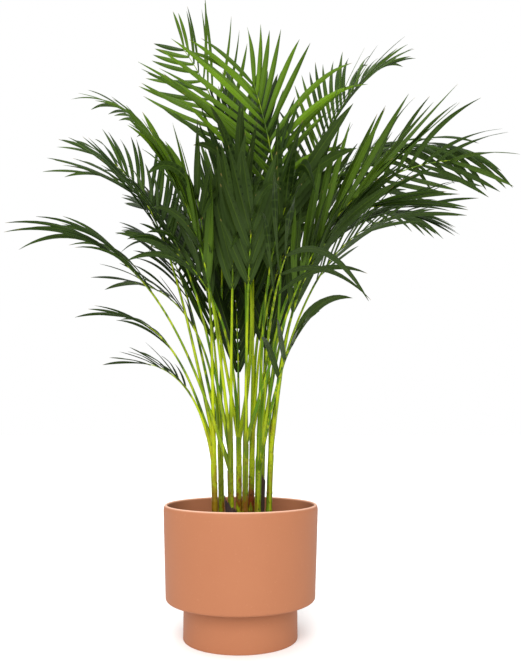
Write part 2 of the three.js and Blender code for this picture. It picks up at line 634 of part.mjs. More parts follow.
// The rachis with its leaflets. courses holds one entry for each pair, with what grows on its right
// and on its left side, if anything does.
function bladeSolid(frond, line, courses) {
  const shell = new Shell();
  const start = frond.bare + GAP / 2 / frond.length;
  let last = shell.loop(rachisCorners(placeOn(frond, line, start), start, frond.bare));
  shell.startCap(last);
  for (const { pair, right, left } of courses) {
    const [rightFront, rightBack, rightLowBack, rightLowFront] = rootCorners(frond, line, pair, 1);
    const [leftFront, leftLowFront, leftLowBack, leftBack] = rootCorners(frond, line, pair, -1);
    const back = shell.loop([rightBack, rightLowBack, leftLowBack, leftBack]);
    const front = shell.loop([rightFront, rightLowFront, leftLowFront, leftFront]);
    shell.wall(last, back);
    shell.side(back, front, 1);
    shell.side(back, front, 3);
    const sides = [
      { course: right, wall: 0, root: [front[0], back[0], back[1], front[1]] },
      { course: left, wall: 2, root: [front[3], front[2], back[2], back[3]] },
    ];
    for (const { course, wall, root } of sides) {
      if (!course) {
        shell.side(back, front, wall);
        continue;
      }
      let reached = root;
      for (const step of SECTIONS) {
        const section = shell.loop(leafletCorners(frond, course, step));
        shell.wall(reached, section);
        reached = section;
      }
      shell.point(reached, course.tip);
    }
    last = front;
  }
  shell.point(last, line.at(-1));
  return shell.solid();
}

// Every second pair of the real frond's leaflets.
function pairsOf(frond) {
  return Array.from({ length: Math.ceil(frond.pairs / 2) }, (_, k) => 2 * k);
}

// ---------------------------------------------------------------- the palm

addMesh('planter', planter(), 'planter');
addMesh('nursery_pot', nurseryPot(), 'nursery_pot');
addMesh('soil', soil(), 'soil');
addMesh('dry_sheath', drySheath(), 'dry_sheath');

const lines = FRONDS.map(frondLine);
CANES.forEach((cane, number) => {
  let stem = caneSolid(cane);
  FRONDS.forEach((frond, index) => {
    if (frond.cane === number) stem = stem.add(petioleSolid(frond, lines[index]));
  });
  addObstacle('cane_' + (number + 1), stem);
  addMesh('cane_' + (number + 1), geometryOf(stem), 'cane');
});
FRONDS.forEach((frond, index) => {
  const rachis = bladeSolid(frond, lines[index], pairsOf(frond).map((pair) => ({ pair })));
  addObstacle(frond.name, rachis);
});
FRONDS.forEach((frond, index) => {
  const courses = pairsOf(frond).map((pair) => ({
    pair,
    right: clearCourse(frond, index, lines[index], pair, 1),
    left: clearCourse(frond, index, lines[index], pair, -1),
  }));
  addMesh('frond_' + frond.name, geometryOf(bladeSolid(frond, lines[index], courses)), 'frond');
});

export default palm;
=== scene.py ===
"""A clumping areca palm in a stepped terracotta-coloured planter. The palm grows by the same law and
the same named values as its solids. Lengths are in millimetres until a mesh is made."""
import math
import bpy
import numpy as np
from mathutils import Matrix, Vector


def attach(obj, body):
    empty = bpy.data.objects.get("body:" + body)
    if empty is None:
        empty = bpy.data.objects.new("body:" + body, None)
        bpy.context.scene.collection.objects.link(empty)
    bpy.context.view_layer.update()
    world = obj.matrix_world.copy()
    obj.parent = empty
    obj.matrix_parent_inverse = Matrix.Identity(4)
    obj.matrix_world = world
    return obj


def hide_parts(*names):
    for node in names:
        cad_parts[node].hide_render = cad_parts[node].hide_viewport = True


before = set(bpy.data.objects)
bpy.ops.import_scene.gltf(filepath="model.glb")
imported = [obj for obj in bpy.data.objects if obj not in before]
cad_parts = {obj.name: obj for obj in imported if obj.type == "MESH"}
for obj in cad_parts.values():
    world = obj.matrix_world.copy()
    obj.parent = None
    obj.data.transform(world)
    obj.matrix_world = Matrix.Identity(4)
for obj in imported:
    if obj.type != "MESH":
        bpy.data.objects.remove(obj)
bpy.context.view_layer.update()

MM = 0.001

# ---------------------------------------------------------------- the shapes' named values

GAP = 0.3
PLANTER = dict(height=232, rim_radius=140, body_foot_radius=133.5, step_height=67, foot_radius=101.5,
               wall=7.5, floor=9, edge=5, foot_edge=2, step_fillet=1.5, sides=160)
# The last value is the width of the painted highlight along the lip's crest.
LIP = dict(width=3.8, rise=10, inner_width=3.7, inner_rise=4, painted_highlight_band=1.5)
SOIL_EDGE = 184
SOIL_TOP = 192
SOIL_RADIUS = 109
CRUMBS = dict(number=420, margin=5, least=1.4, spread=2.4, uneven=0.28, flat=0.7, pole=0.12, raised=0.3)
CANE = dict(foot_radius=6.2, top_radius=4.4, depth=58, flare=0.12)
JOINTS = dict(spacing=31, scar=0.55, scar_width=0.055, waist=0.25)
CROWN = dict(over=8, taper=48, narrowed=0.8)
SLEEVE = dict(length=75, uneven=12, top=-4, offset=1.6, tuck=0.6, inset=0.4, widening=0.9)
PETIOLE = dict(foot_radius=3.3, collar_radius=2.1, swelling=0.14, groove=0.22)
RACHIS = dict(side=2.1, taper=0.72)
LEAFLET = dict(thickness=0.42, gather=0.55, fall=1.2, thinning=0.6, keel=0.42, flattening=0.25,
               least_half=0.15, twist=22, sway=0.1, tone_spread=0.16)
BLADE = dict(fold=0.65, rise=0.45, longest=0.35, short=0.35, fade=1.5, end=0.985)
UNEVEN = dict(fold=5, rise=9, length=0.08, weep=0.35)
CURLED = 0.4
OUTLINE = dict(root=0.4, swell=2.4, point=0.9, widest=0.87, least=0.62, full=200)
HUSK_GRID = dict(columns=31, levels=24)
HUSK_EDGE = dict(ragged=0.1, least=0.25, ripple=0.35, thinning=0.6)
SHEATH = dict(cane=2, heading=-110, radius=8.6, thickness=1.4, top=250, spread=200, torn=55, flare=0.35)
DEAD_BASE = dict(cane=7, heading=-95, radius=7.4, thickness=0.9, top=300, spread=120, torn=58, flare=0.16)

# Each cane's place on the soil, the height where it ends, and how brown its foot is.
CANES = [
    (-46, -8, 372, 0.675), (-36, 20, 366, 0.75), (-17, -20, 362, 0.525), (-4, 12, 384, 0.9),
    (8, -24, 372, 0.75), (18, 22, 380, 1), (30, -12, 368, 0.45), (36, 26, 360, 1),
    (50, 2, 356, 0.9),
]

# tone is how bright a frond's leaflets are: partly the frond's own green, mostly painted light and shade,
# bright for the upper, lit fronds and dark for fronds low, in front or deep in the crown, where shade
# falls.
FROND_KEYS = ("name cane start heading lean arch late length bare leaf tip pairs fold rise roll weep "
              "width curl tone").split()
FRONDS = [dict(zip(FROND_KEYS, row)) for row in [
    ("low_left", 0, 305, -179, 13, 71, 2.1, 240, 0.57, 105, 0.75, 5, 54, 23, -10, 0.6, 5, 0, 0.3),
    ("second_left", 0, 335, 170, 20, 62, 2.6, 325, 0.57, 130, 0.7, 4, 27, 8, -3, 0.85, 4.5, 0, 0.4),
    ("third_left", 1, 340, 160, 6, 73, 1.9, 405, 0.53, 140, 0.75, 5, 36, 17, 10, 0.7, 5.5, 0, 0.3),
    ("long_left", 2, 295, 178, 20, 41, 2.6, 500, 0.68, 220, 0.85, 6, 17, 34, -6, 1.2, 4, 0, 0.45),
    ("dark_left", 1, 344, 121, 26, 42, 3.4, 575, 0.57, 185, 0.95, 9, 38, 33, -2, 1, 5, 0, 0.2),
    ("dark_left_front", 3, 354, -148, 5, 59, 2.2, 385, 0.67, 155, 0.7, 6, 36, 37, 7, 0.95, 7, 1, 0.2),
    ("mid_left", 0, 354, 148, 16, 41, 3, 680, 0.56, 185, 0.85, 13, 36, 41, -24, 0.5, 4.5, 0, 0.5),
    ("mid_left_back", 2, 325, 161, 12, 57, 2.8, 650, 0.56, 160, 0.9, 14, 47, 33, -19, 0.65, 4.5, 0, 0.5),
    ("high_left", 3, 348, 154, 12, 51, 3.1, 840, 0.49, 130, 0.75, 18, 44, 8, 8, 0.75, 4, 0, 0.6),
    ("high_left_front", 2, 342, -139, 9, 33, 3.1, 515, 0.54, 200, 0.7, 8, 17, 44, -32, 0.95, 8.5, 0, 0.85),
    ("top_left", 3, 350, 133, -19, 58, 0.8, 940, 0.6, 190, 0.6, 12, 61, 29, -83, 0.05, 6, 0, 0.66),
    ("top_centre", 6, 316, -175, -11, 29, 1.4, 745, 0.64, 285, 0.45, 13, 52, 1, -76, 0.95, 6, 0, 0.85),
    ("top_right", 5, 362, 27, 13, 42, 3.7, 900, 0.54, 200, 0.5, 24, 43, 48, 20, 0.8, 4.5, 0, 0.6),
    ("bright_right", 4, 342, -31, 20, 41, 3.4, 510, 0.54, 215, 1.05, 10, 26, 44, 6, 0.15, 6.5, 0, 0.8),
    ("far_right", 6, 320, -8, 5, 88, 1.9, 735, 0.68, 185, 0.65, 9, 62, 26, -34, 0.65, 5.5, 0, 0.55),
    ("arching_right", 5, 360, -2, 1, 105, 1.9, 800, 0.62, 150, 0.95, 15, 36, 17, -6, 1.7, 5.5, 1, 0.45),
    ("mid_right", 8, 346, 29, 7, 86, 2, 660, 0.54, 195, 0.8, 18, 35, 16, 8, 1, 4.5, 0, 0.4),
    ("low_right", 8, 322, -36, 9, 94, 3.5, 540, 0.48, 195, 0.8, 14, 12, 23, 12, 0.6, 4.5, 0, 0.4),
    ("lower_right", 7, 348, -3, 15, 62, 2.8, 530, 0.58, 170, 1, 11, 42, 12, -13, 0.6, 5, 0, 0.4),
    ("small_right", 6, 291, -69, 30, 44, 4.5, 285, 0.6, 170, 1.1, 3, 34, 34, 42, 1.05, 6.5, 0, 0.3),
    ("front_left", 0, 337, -107, 4, 36, 2.8, 475, 0.61, 155, 0.95, 5, 28, 26, -5, 0.7, 9, 2.5, 0.12),
    ("front_right", 6, 350, -64, 3, 53, 2.5, 475, 0.63, 190, 1, 6, 26, 28, -7, 0.55, 9.5, 3, 0.3),
    ("back_left", 1, 354, 123, 7, 61, 2.1, 585, 0.3, 225, 0.9, 15, 29, 17, -6, 0.45, 8, 0, 0.35),
    ("back_right", 7, 352, 79, 7, 44, 2.4, 630, 0.35, 230, 0.7, 15, 28, 34, -1, 0.3, 8, 0, 0.35),
    ("back_centre", 5, 360, 99, -3, 35, 2.8, 675, 0.35, 245, 0.75, 15, 30, 35, -7, 0.3, 8, 0, 0.35),
    ("centre_front", 4, 356, -101, -2, 45, 2.6, 500, 0.58, 170, 0.75, 6, 22, 23, -3, 0.75, 9, 3, 0.12),
    ("centre_left", 3, 296, 98, 5, 43, 2.4, 425, 0.4, 200, 0.85, 11, 23, 20, -1, 0.35, 9, 0, 0.25),
    ("centre_right", 8, 306, 99, 4, 46, 2.6, 490, 0.4, 200, 0.8, 11, 24, 22, 3, 0.3, 9, 0, 0.25),
    ("curling_right", 7, 300, -81, -8, 87, 0.9, 485, 0.66, 230, 1.1, 3, 42, 42, -45, 1.5, 5.5, 1, 0.35),
    ("inner_left", 2, 333, -85, 4, 26, 2.4, 440, 0.62, 165, 0.8, 5, 20, 20, 0, 0.3, 9, 0, 0.12),
    ("inner_right", 5, 310, -24, 3, 35, 2.2, 495, 0.63, 185, 1, 6, 23, 20, 1, 0.15, 9, 0, 0.14),
    ("upper_right", 7, 349, 20, 10, 38, 2.1, 630, 0.47, 200, 0.6, 12, 28, 29, 3, 0.3, 6.5, 0, 0.75),
    ("upper_left", 1, 336, 93, 5, 37, 2.5, 665, 0.47, 210, 0.6, 13, 20, 27, 1, 0.4, 6, 0, 0.6),
    ("front_middle", 4, 315, -84, 3, 46, 2.2, 455, 0.66, 165, 0.8, 5, 24, 25, 2, 0.5, 9, 2, 0.1),
    ("lower_front", 8, 324, -51, 10, 49, 2.6, 420, 0.6, 185, 0.9, 7, 22, 23, 5, 0.7, 7, 1, 0.22),
]]

CURVE_STEPS = 40
LEAFLET_STEPS = 12
UP = np.array([0.0, 0.0, 1.0])


def scatter(*keys):
    """A repeatable value from -1 to 1 for a set of whole numbers."""
    total = sum(key * (12.9898 + 65.233 * k) for k, key in enumerate(keys))
    wave = math.sin(total) * 43758.5453
    return 2 * (wave - math.floor(wave)) - 1


def unit(v):
    return v / np.maximum(np.linalg.norm(v, axis=-1, keepdims=True), 1e-9)


def mix(a, b, share):
    return a + (b - a) * share


# ---------------------------------------------------------------- meshes

class Piece:
    """Parts of one mesh. Each part is rows of points joined by four-sided faces. marks holds four
    values for each point, for the materials to read."""

    def __init__(self):
        self.points, self.faces, self.slots, self.marks, self.sharp = [], [], [], [], []
        self.count = 0

    def rows(self, rings, marks, slot=0, creases=()):
        """A closed tube through rings, shaped (rings, sides, 3), with capped ends. creases are the
        sides whose edges along the tube are sharp."""
        number, sides = rings.shape[:2]
        index = np.arange(number * sides).reshape(number, sides)
        after = np.roll(index, -1, axis=1)
        faces = np.stack([index[:-1], after[:-1], after[1:], index[1:]], axis=-1).reshape(-1, 4)
        half = sides // 2
        first = index[0]
        caps = [(first[k], first[-k - 1], first[-k - 2], first[k + 1]) for k in range(half - 1)]
        last = index[-1]
        caps += [(last[k + 1], last[-k - 2], last[-k - 1], last[k]) for k in range(half - 1)]
        faces = np.concatenate([faces, np.array(caps)])
        a, b, c, d = (rings.reshape(-1, 3)[faces[:, k]] for k in range(4))
        volume = np.einsum("ij,ij->i", a, np.cross(b, c) + np.cross(c, d)).sum()
        if volume < 0:
            faces = faces[:, ::-1]
        for side in creases:
            along = index[:, side] + self.count
            self.sharp += list(zip(along[:-1].tolist(), along[1:].tolist()))
        self.points.append(rings.reshape(-1, 3))
        self.faces.append(faces + self.count)
        self.slots.append(np.full(len(faces), slot))
        self.marks.append(np.asarray(marks, float).reshape(-1, 4))
        self.count += number * sides

    def make(self, name, materials, replaced=(), sharp_angle=None):
        mesh = bpy.data.meshes.new(name)
        points = np.concatenate(self.points) * MM
        faces = np.concatenate(self.faces)
        mesh.from_pydata(points.tolist(), [], faces.tolist())
        mesh.polygons.foreach_set("material_index", np.concatenate(self.slots).astype(np.int32))
        mesh.polygons.foreach_set("use_smooth", np.ones(len(faces), bool))
        marks = mesh.attributes.new("growth", "FLOAT_COLOR", "POINT")
        marks.data.foreach_set("color", np.concatenate(self.marks).ravel())
        if self.sharp:
            ends = np.empty(2 * len(mesh.edges), np.int32)
            mesh.edges.foreach_get("vertices", ends)
            ends = np.sort(ends.reshape(-1, 2), axis=1).astype(np.int64)
            wanted = np.sort(np.array(self.sharp, np.int64), axis=1)
            size = len(points)
            flags = np.isin(ends[:, 0] * size + ends[:, 1], wanted[:, 0] * size + wanted[:, 1])
            mesh.edges.foreach_set("use_edge_sharp", flags)
        if sharp_angle:
            mesh.set_sharp_from_angle(angle=math.radians(sharp_angle))
        for material in materials:
            mesh.materials.append(material)
        mesh.validate()
        obj = bpy.data.objects.new(name, mesh)
        bpy.context.scene.collection.objects.link(obj)
        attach(obj, "root")
        if replaced:
            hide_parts(*replaced)
        return obj


def tube(piece, centres, across, up, radii, marks, sides, slot=0, flat=0.0):
    """A round stalk. flat is how far its upper face is pressed in."""
    angle = np.linspace(0, 2 * np.pi, sides, endpoint=False)
    reach = 1 - flat * np.clip(np.sin(angle), 0, 1) ** 4
    rings = (centres[:, None]
             + (radii[:, None] * np.cos(angle))[..., None] * across[:, None]
             + (radii[:, None] * np.sin(angle) * reach)[..., None] * up[:, None])
    piece.rows(rings, np.repeat(marks[:, None], sides, axis=1), slot)


# ---------------------------------------------------------------- materials

def tone(red, green, blue):
    """A screen colour, 0 to 255, as the shader's linear values."""
    return tuple(v / 12.92 if v <= 0.04045 else ((v + 0.055) / 1.055) ** 2.4
                 for v in (red / 255, green / 255, blue / 255)) + (1.0,)


class Nodes:
    """Short names for building a material."""

    def __init__(self, name):
        self.material = bpy.data.materials.new(name)
        self.material.use_nodes = True
        self.tree = self.material.node_tree
        self.shader = self.tree.nodes["Principled BSDF"]

    def put(self, socket, value):
        if isinstance(value, bpy.types.NodeSocket):
            self.tree.links.new(value, socket)
        else:
            socket.default_value = value

    def set(self, **values):
        for key, value in values.items():
            self.put(self.shader.inputs[key.replace("_", " ")], value)

    def node(self, kind, output, inputs=(), **settings):
        node = self.tree.nodes.new("ShaderNode" + kind)
        for key, value in settings.items():
            setattr(node, key, value)
        for key, value in dict(inputs).items():
            self.put(node.inputs[key], value)
        return node.outputs[output]

    def math(self, operation, *values, clamp=False):
        return self.node("Math", 0, enumerate(values), operation=operation, use_clamp=clamp)

    def mix(self, share, first, second):
        return self.node("Mix", 2, {0: share, 6: first, 7: second}, data_type="RGBA")

    def fit(self, value, low, high, to_low=0.0, to_high=1.0):
        return self.node("MapRange", 0, {0: value, 1: low, 2: high, 3: to_low, 4: to_high})

    def place(self, stretch=(1, 1, 1)):
        place = self.node("TexCoord", "Object")
        return self.node("Mapping", 0, {"Vector": place, "Scale": stretch})

    def noise(self, scale, detail=3.0, rough=0.5, stretch=(1, 1, 1)):
        inputs = {"Vector": self.place(stretch), "Scale": scale, "Detail": detail, "Roughness": rough}
        return self.node("TexNoise", 0, inputs)

    def bump(self, height, distance, strength=1.0):
        normal = self.node("Bump", 0, {"Height": height, "Distance": distance, "Strength": strength})
        self.put(self.shader.inputs["Normal"], normal)

    def growth(self):
        """The four marks of the mesh's points."""
        node = self.tree.nodes.new("ShaderNodeAttribute")
        node.attribute_name = "growth"
        parts = self.tree.nodes.new("ShaderNodeSeparateColor")
        self.tree.links.new(node.outputs["Color"], parts.inputs[0])
        return parts.outputs[0], parts.outputs[1], parts.outputs[2], node.outputs["Alpha"]


def leaf_material():
    n = Nodes("palm_leaflet")
    across, along, chance, under = n.growth()
    cloud = n.noise(9.0, 2.0)
    # chance takes a leaflet from dark to bright green: the frond's tone, partly painted light and shade,
    # with a random spread.
    base = n.mix(n.fit(chance, 0.0, 0.55), tone(19, 29, 6), tone(38, 60, 6))
    base = n.mix(n.fit(chance, 0.55, 1.0), base, tone(94, 128, 12))
    base = n.mix(n.fit(cloud, 0.35, 0.7, 0.0, 0.5), base, tone(25, 50, 10))
    height = n.node("SeparateXYZ", 2, {0: n.node("TexCoord", "Object")})
    # Painted shade: leaflets are darkened the lower they sit in the crown, standing in for the shade deep
    # in the foliage.
    base = n.mix(n.fit(height, 0.62, 0.98, 0.55, 0.0), base, tone(16, 25, 8))
    off_middle = n.math("ABSOLUTE", n.math("SUBTRACT", across, 0.5))
    rib = n.fit(off_middle, 0.02, 0.06, 0.3, 0.0)
    base = n.mix(rib, base, tone(96, 122, 22))
    nerves = n.math("SINE", n.math("MULTIPLY", across, 75.0))
    base = n.mix(n.fit(nerves, 0.2, 1.0, 0.0, 0.12), base, tone(80, 110, 26))
    base = n.mix(n.math("MULTIPLY", under, 0.3), base, tone(72, 94, 40))
    dry = n.math("MULTIPLY", n.fit(along, 0.96, 1.0), n.fit(n.noise(14.0, 1.0), 0.45, 0.6))
    base = n.mix(dry, base, tone(150, 126, 70))
    n.set(Base_Color=base, Roughness=n.fit(cloud, 0.3, 0.7, 0.34, 0.46), Specular_IOR_Level=0.09)
    n.bump(n.math("ADD", nerves, n.math("MULTIPLY", cloud, 2.0)), 0.00012, 0.6)
    return n.material


def stalk_material():
    """Petioles, rachises and canes: brown-patched olive at the foot, yellow-green above, and green
    towards the tip. The marks are around, along, chance and brownness."""
    n = Nodes("palm_stalk")
    around, along, chance, brown = n.growth()
    height = n.node("SeparateXYZ", 2, {0: n.node("TexCoord", "Object")})
    cloud = n.noise(11.0, 3.0)
    streak = n.noise(75.0, 3.0, 0.6, (1, 1, 0.05))
    stripe = n.noise(150.0, 2.0, 0.5, (1, 1, 0.03))
    base = n.mix(n.fit(chance, 0.2, 0.8), tone(70, 108, 4), tone(150, 168, 8))
    base = n.mix(n.fit(height, 0.45, 0.7), base, tone(84, 116, 12))
    base = n.mix(n.fit(stripe, 0.5, 0.6, 0.0, 0.5), base, tone(176, 186, 20))
    base = n.mix(n.fit(streak, 0.5, 0.62, 0.0, 0.8), base, tone(42, 68, 4))
    low = n.fit(n.math("ADD", height, n.math("MULTIPLY", cloud, 0.16)), 0.3, 0.48, 1.0, 0.0)
    base = n.mix(n.math("MULTIPLY", low, 0.35), base, tone(104, 100, 5))
    patch = n.math("MULTIPLY", n.fit(n.noise(36.0, 4.0, 0.65, (1, 1, 0.4)), 0.5, 0.57), low)
    base = n.mix(n.math("MULTIPLY", patch, brown, clamp=True), base, tone(112, 44, 10))
    fleck = n.fit(n.noise(330.0, 2.0, 0.5, (1, 1, 0.5)), 0.58, 0.68)
    base = n.mix(n.math("MULTIPLY", fleck, n.math("MULTIPLY", low, 0.8)), base, tone(50, 34, 8))
    n.set(Base_Color=base, Roughness=n.fit(cloud, 0.3, 0.7, 0.34, 0.5), Specular_IOR_Level=0.16)
    n.bump(streak, 0.0005, 0.5)
    return n.material


def terracotta_material():
    """Matt fired clay, with a painted highlight along the lip's crest, where the rounded lip catches the
    light. The first mark is how near a place is to the lip's crest.
    """
    n = Nodes("terracotta")
    crest = n.growth()[0]
    cloud = n.noise(7.0, 4.0, 0.55)
    grain = n.noise(900.0, 3.0, 0.6)
    base = n.mix(cloud, tone(156, 98, 67), tone(164, 107, 75))
    base = n.mix(n.fit(grain, 0.58, 0.75, 0.0, 0.3), base, tone(140, 84, 54))
    base = n.mix(n.fit(n.noise(260.0, 2.0), 0.66, 0.76, 0.0, 0.3), base, tone(180, 124, 94))
    # Painted highlight: the lip's crest is lightened, standing in for the light the rounded lip catches.
    base = n.mix(crest, base, tone(232, 184, 158))
    n.set(Base_Color=base, Roughness=n.fit(cloud, 0.3, 0.7, 0.55, 0.68), Specular_IOR_Level=0.2)
    n.bump(n.math("ADD", grain, n.math("MULTIPLY", cloud, 3.0)), 0.00012, 0.4)
    return n.material


def plastic_material():
    n = Nodes("nursery_plastic")
    cloud = n.noise(30.0, 3.0)
    base = n.mix(cloud, tone(38, 30, 26), tone(58, 46, 40))
    n.set(Base_Color=base, Roughness=n.fit(cloud, 0.3, 0.7, 0.5, 0.7))
    n.bump(n.noise(500.0, 2.0), 0.0001, 0.4)
    return n.material


def soil_material():
    n = Nodes("potting_soil")
    clump = n.noise(70.0, 6.0, 0.7)
    grain = n.noise(600.0, 4.0, 0.7)
    base = n.mix(clump, tone(34, 22, 15), tone(84, 60, 42))
    base = n.mix(n.fit(grain, 0.55, 0.75, 0.0, 0.6), base, tone(116, 88, 62))
    n.set(Base_Color=base, Roughness=0.95)
    n.bump(n.math("ADD", clump, n.math("MULTIPLY", grain, 0.4)), 0.004, 0.9)
    return n.material


def husk_material():
    n = Nodes("dry_husk")
    streak = n.noise(150.0, 4.0, 0.65, (1, 1, 0.05))
    cloud = n.noise(40.0, 3.0)
    base = n.mix(n.fit(streak, 0.3, 0.75), tone(24, 15, 12), tone(84, 58, 40))
    base = n.mix(n.fit(cloud, 0.45, 0.7, 0.0, 0.7), base, tone(38, 22, 26))
    n.set(Base_Color=base, Roughness=0.85)
    n.bump(streak, 0.0012, 0.9)
    return n.material


LEAF = leaf_material()
STALK = stalk_material()
TERRACOTTA = terracotta_material()
PLASTIC = plastic_material()
SOIL = soil_material()
HUSK = husk_material()

# ---------------------------------------------------------------- the planter


def arc(centre, radii, start, end, steps=8):
    angle = np.radians(np.linspace(start, end, steps + 1))
    return [(centre[0] + radii[0] * math.cos(a), centre[1] + radii[1] * math.sin(a)) for a in angle]


def planter():
    p, lip = PLANTER, LIP
    inner_rim = p["rim_radius"] - lip["width"] - lip["inner_width"]
    top, step, fillet, edge = p["height"], p["step_height"], p["step_fillet"], p["edge"]
    profile = [(p["foot_radius"] - p["foot_edge"], 0)]
    profile += arc((p["foot_radius"] - p["foot_edge"], p["foot_edge"]), (p["foot_edge"],) * 2, -90, 0, 4)
    profile += [(p["foot_radius"], step - fillet)]
    profile += arc((p["foot_radius"] + fillet, step - fillet), (fillet, fillet), 180, 90, 4)[1:]
    profile += arc((p["body_foot_radius"] - edge, step + edge), (edge, edge), -90, 0)
    profile += arc((p["rim_radius"] - lip["width"], top - lip["rise"]), (lip["width"], lip["rise"]), 0, 90)
    profile += arc((inner_rim + lip["inner_width"], top - lip["inner_rise"]),
                   (lip["inner_width"], lip["inner_rise"]), 90, 180)[1:]
    profile += [(p["body_foot_radius"] - p["wall"], step + p["wall"]),
                (p["foot_radius"] - p["wall"], step + p["wall"]),
                (p["foot_radius"] - p["wall"], p["floor"])]
    angle = np.linspace(0, 2 * np.pi, p["sides"], endpoint=False)
    rings = np.array([[(r * math.cos(a), r * math.sin(a), z) for a in angle] for r, z in profile])
    marks = np.zeros((*rings.shape[:2], 4))
    # The first mark places the painted highlight along the lip's crest.
    marks[..., 0] = np.exp(-((rings[..., 2] - top) / lip["painted_highlight_band"]) ** 2)
    body = Piece()
    body.rows(rings, marks)
    body.make("planter_body", [TERRACOTTA], ["planter"], sharp_angle=40)


planter()

# ---------------------------------------------------------------- soil, nursery pot, husk

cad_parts["nursery_pot"].data.materials.clear()
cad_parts["nursery_pot"].data.materials.append(PLASTIC)
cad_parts["soil"].data.materials.clear()
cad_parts["soil"].data.materials.append(SOIL)


def lump(piece, centre, size, seed):
    """A small uneven clod."""
    rings, sides = 6, 8
    polar = np.linspace(CRUMBS["pole"], np.pi - CRUMBS["pole"], rings)
    around = np.linspace(0, 2 * np.pi, sides, endpoint=False)
    shape = np.empty((rings, sides, 3))
    for i, a in enumerate(polar):
        for j, b in enumerate(around):
            reach = size * (1 + CRUMBS["uneven"] * scatter(seed, i, j))
            shape[i, j] = (reach * math.sin(a) * math.cos(b), reach * math.sin(a) * math.sin(b),
                           CRUMBS["flat"] * reach * math.cos(a))
    piece.rows(shape + np.array(centre), np.zeros((rings, sides, 4)))


def soil_crumbs():
    crumbs = Piece()
    for k in range(CRUMBS["number"]):
        reach = (SOIL_RADIUS - CRUMBS["margin"]) * math.sqrt(0.5 + 0.5 * scatter(k, 1))
        angle = math.pi * scatter(k, 2)
        mound = np.interp(reach / SOIL_RADIUS, [0, 0.6, 0.85, 1], [8, 8, 3.6, 0])
        size = CRUMBS["least"] + CRUMBS["spread"] * (0.5 + 0.5 * scatter(k, 3)) ** 2
        height = SOIL_EDGE + mound + CRUMBS["raised"] * size
        place = (reach * math.cos(angle), reach * math.sin(angle), height)
        lump(crumbs, place, size, k + 11)
    crumbs.make("soil_crumbs", [SOIL])


def husk(name, sheath, replaced=()):
    """A torn, fibrous leaf base round the foot of a cane, that opens towards its top."""
    x, y, cane_top, _ = CANES[sheath["cane"]]
    edge = HUSK_EDGE
    foot = SOIL_TOP + GAP
    height = sheath["top"] - foot
    slope = math.tan(math.radians(sheath["torn"]))
    heading = math.radians(sheath["heading"])
    turns = np.radians(np.linspace(-sheath["spread"] / 2, sheath["spread"] / 2, HUSK_GRID["columns"]))
    rings = []
    for level in np.linspace(0, 1, HUSK_GRID["levels"]):
        thickness = sheath["thickness"] * (1 - edge["thinning"] * level)
        outer, inner = [], []
        for k, turn in enumerate(turns):
            cut = sheath["radius"] * (1 + math.sin(turn)) * slope
            ragged = edge["ragged"] * height * (0.5 + 0.5 * scatter(k, 5, sheath["cane"]))
            z = max(height - cut - ragged, edge["least"] * height) * level
            opened = 1 + sheath["flare"] * z / height
            drift = CANE["flare"] * z / (cane_top - SOIL_TOP)
            radius = sheath["radius"] * opened + edge["ripple"] * (1 + scatter(k, 7)) * level
            for row, r in ((outer, radius), (inner, radius - thickness)):
                row.append((x * (1 + drift) + r * math.cos(turn + heading),
                            y * (1 + drift) + r * math.sin(turn + heading), foot + z))
        rings.append(outer + inner[::-1])
    rings = np.array(rings)
    piece = Piece()
    piece.rows(rings, np.zeros((*rings.shape[:2], 4)))
    piece.make(name, [HUSK], replaced, sharp_angle=50)


soil_crumbs()
husk("dry_husk", SHEATH, ["dry_sheath"])
husk("dead_leaf_base", DEAD_BASE)

# ---------------------------------------------------------------- the growth law


def frond_line(frond):
    """The points of a frond's stalk and rachis, from its cane to its tip."""
    x, y, top, _ = CANES[frond["cane"]]
    climb = 1 + CANE["flare"] * (frond["start"] - SOIL_TOP) / (top - SOIL_TOP)
    heading = math.radians(frond["heading"])
    outward = np.array([math.cos(heading), math.sin(heading), 0.0])
    points = [np.array([x * climb, y * climb, frond["start"]])]
    for step in range(CURVE_STEPS):
        share = (step + 0.5) / CURVE_STEPS
        lean = math.radians(frond["lean"] + frond["arch"] * share ** frond["late"])
        stride = frond["length"] / CURVE_STEPS
        points.append(points[-1] + stride * (math.sin(lean) * outward + math.cos(lean) * UP))
    return np.array(points)


def place_on(frond, line, share):
    """The point at a share of a frond's line, and the directions along, across and up from it."""
    step = min(int(share * CURVE_STEPS), CURVE_STEPS - 1)
    along = unit(line[step + 1] - line[step])
    point = mix(line[step], line[step + 1], share * CURVE_STEPS - step)
    heading = math.radians(frond["heading"])
    across = np.array([-math.sin(heading), math.cos(heading), 0.0])
    return point, along, across, unit(np.cross(along, across))


def length_share(frond, u):
    """How long a leaflet is, as a share of the longest, u of the way along the row."""
    if u < BLADE["longest"]:
        return 1 - BLADE["short"] * (1 - u / BLADE["longest"]) ** 2
    late = (u - BLADE["longest"]) / (1 - BLADE["longest"])
    return 1 - (1 - frond["tip"]) * late ** BLADE["fade"]


def half_width(frond, length, w):
    """Half a leaflet's width, w of the way along it."""
    o = OUTLINE
    greatest = frond["width"] * (o["least"] + (1 - o["least"]) * min(1, length / o["full"]))
    return greatest * (o["root"] + o["swell"] * w) * (1 - w) ** o["point"] / o["widest"]


